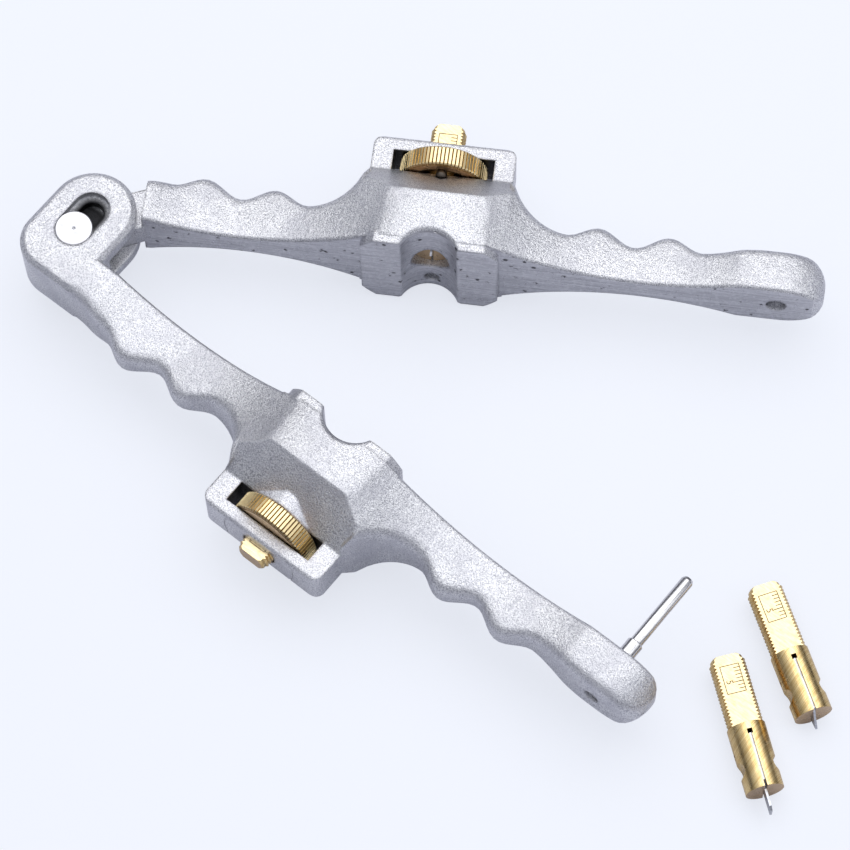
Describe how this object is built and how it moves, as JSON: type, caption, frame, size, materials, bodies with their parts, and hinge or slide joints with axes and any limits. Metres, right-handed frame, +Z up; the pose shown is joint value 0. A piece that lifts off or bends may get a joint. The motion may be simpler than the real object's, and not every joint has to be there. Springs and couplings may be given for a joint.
{
  "type": "fibre cable slitter",
  "caption": "Hand tool with two cast arms on a sliding hinge. Each arm has a cable groove and a thumbwheel that feeds a blade carrier to a set depth.",
  "frame": {"origin": "axis of the fork arm's half-round cable groove, at half height of the tool", "axes": "+X along the fork arm from the hinge to the tip, +Y from the fork arm towards the eye arm, +Z up along the hinge pin and the grooves; the tool lies on the plane z = -18.4 mm"},
  "size_m": [0.262, 0.1646, 0.0368],
  "materials": {
    "cast_arm": "bead-blasted casting, machined on the clamping side",
    "pin_steel": "ground and polished",
    "washer_steel": "plated",
    "clip_steel": "blackened spring steel",
    "wheel_brass": "turned, straight knurl on the rim",
    "carrier_brass": "turned and milled",
    "blade_steel": "ground",
    "ball_steel": "polished",
    "spring_steel": "drawn wire"
  },
  "bodies": {
    "fork_arm": {"fork_arm": "cast_arm", "guide_pin": "pin_steel", "fork_ball": "ball_steel", "fork_spring": "spring_steel", "strip_carrier": "carrier_brass", "strip_blade": "blade_steel", "strip_blade_pin": "pin_steel", "point_carrier": "carrier_brass", "point_blade": "blade_steel", "point_blade_pin": "pin_steel"},
    "hinge_pin": {"hinge_pin": "pin_steel", "hinge_washer": "washer_steel", "hinge_clip": "clip_steel"},
    "eye_arm": {"eye_arm": "cast_arm", "eye_ball": "ball_steel", "eye_spring": "spring_steel"},
    "fork_wheel": {"fork_wheel": "wheel_brass"},
    "fork_carrier": {"fork_carrier": "carrier_brass", "fork_blade": "blade_steel", "fork_blade_pin": "pin_steel"},
    "eye_wheel": {"eye_wheel": "wheel_brass"},
    "eye_carrier": {"eye_carrier": "carrier_brass", "eye_blade": "blade_steel", "eye_blade_pin": "pin_steel"}
  },
  "joints": [
    {"name": "pin_slide", "type": "slide", "parent": "fork_arm", "child": "hinge_pin", "axis": [0, 1, 0], "range_m": [0, 0.0073]},
    {"name": "arm_swing", "type": "hinge", "parent": "hinge_pin", "child": "eye_arm", "pos_m": [-0.099, -0.0035, 0], "axis": [0, 0, 1], "range_deg": [-31.4, 14]},
    {"name": "fork_wheel_turn", "type": "hinge", "parent": "fork_arm", "child": "fork_wheel", "pos_m": [0, -0.03515, 0], "axis": [0, 1, 0], "range_deg": [-180, 2232]},
    {"name": "fork_blade_feed", "type": "slide", "parent": "fork_arm", "child": "fork_carrier", "axis": [0, -1, 0], "range_m": [-0.00051, 0.00621]},
    {"name": "eye_wheel_turn", "type": "hinge", "parent": "eye_arm", "child": "eye_wheel", "pos_m": [-0.03219, 0.07706, 0], "axis": [0.521, -0.8536, 0], "range_deg": [-1584, 828]},
    {"name": "eye_blade_feed", "type": "slide", "parent": "eye_arm", "child": "eye_carrier", "axis": [-0.521, 0.8536, 0], "range_m": [-0.00441, 0.00231]}
  ],
  "couplings": [
    {"joint": "fork_blade_feed", "follows": "fork_wheel_turn", "m_per_rad": 0.00015915},
    {"joint": "eye_blade_feed", "follows": "eye_wheel_turn", "m_per_rad": 0.00015915}
  ]
}
